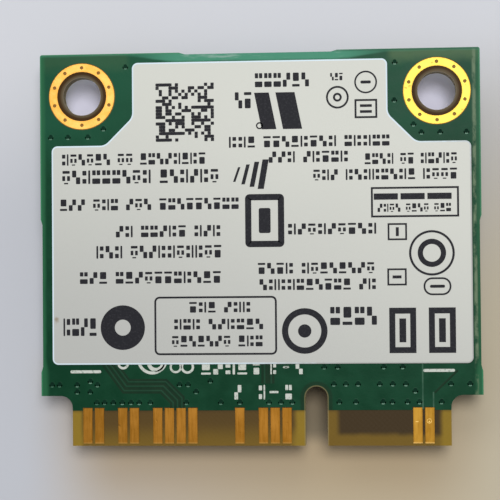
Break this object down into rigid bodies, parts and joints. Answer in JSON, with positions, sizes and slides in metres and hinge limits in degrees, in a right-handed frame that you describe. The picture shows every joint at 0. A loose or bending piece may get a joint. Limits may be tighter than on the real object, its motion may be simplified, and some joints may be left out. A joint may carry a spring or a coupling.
{
  "type": "laptop wifi card",
  "caption": "Flat plug-in wireless card: keyed edge-contact tongue, plated screw holes, labelled face, shield can and small coaxial antenna sockets beneath.",
  "frame": {"origin": "under the middle of the card, on the plane of the shield lid's outer face", "axes": "+Z from the shield lid to the label, +Y from the contact tongue to the screw holes, +X across the card towards its key slot"},
  "size_m": [0.03, 0.0268, 0.0033],
  "materials": {
    "laminate": "satin",
    "solder_mask": "gloss",
    "gold_plating": "bright",
    "label_film": "satin",
    "shield_metal": "satin",
    "socket_insulator": "matte",
    "chip_mould": "matte",
    "solder": "satin",
    "crystal_ceramic": "matte",
    "crystal_metal": "satin",
    "capacitor_ceramic": "matte",
    "resistor_body": "matte",
    "filter_ceramic": "matte",
    "coil_ferrite": "matte",
    "end_caps": "satin"
  },
  "bodies": {
    "root": {"circuit_board": "laminate", "solder_mask_label_side": "solder_mask", "solder_mask_component_side": "solder_mask", "edge_contacts_label_side": "gold_plating", "edge_contacts_component_side": "gold_plating", "screw_ring_left_label_side": "gold_plating", "screw_ring_left_component_side": "gold_plating", "screw_ring_right_label_side": "gold_plating", "screw_ring_right_component_side": "gold_plating", "label": "label_film", "shield_lid": "shield_metal", "shield_frame": "shield_metal", "antenna_socket_base_left": "socket_insulator", "antenna_socket_base_right": "socket_insulator", "antenna_socket_shell_left": "gold_plating", "antenna_socket_shell_right": "gold_plating", "antenna_socket_pin_left": "gold_plating", "antenna_socket_pin_right": "gold_plating", "baseband_chip_package": "chip_mould", "baseband_chip_lands": "solder", "radio_chip_package": "chip_mould", "radio_chip_lands": "solder", "regulator_chip_package": "chip_mould", "regulator_chip_lands": "solder", "front_end_chips_package": "chip_mould", "front_end_chips_lands": "solder", "memory_chip_package": "chip_mould", "memory_chip_lands": "solder", "crystal_pads": "solder", "crystal_base": "crystal_ceramic", "crystal_lid": "crystal_metal", "capacitor_cores": "capacitor_ceramic", "capacitor_caps": "end_caps", "resistor_cores": "resistor_body", "resistor_caps": "end_caps", "bulk_capacitor_cores": "capacitor_ceramic", "bulk_capacitor_caps": "end_caps", "band_filter_cores": "filter_ceramic", "band_filter_caps": "end_caps", "power_coil_cores": "coil_ferrite", "power_coil_caps": "end_caps"}
  },
  "joints": []
}
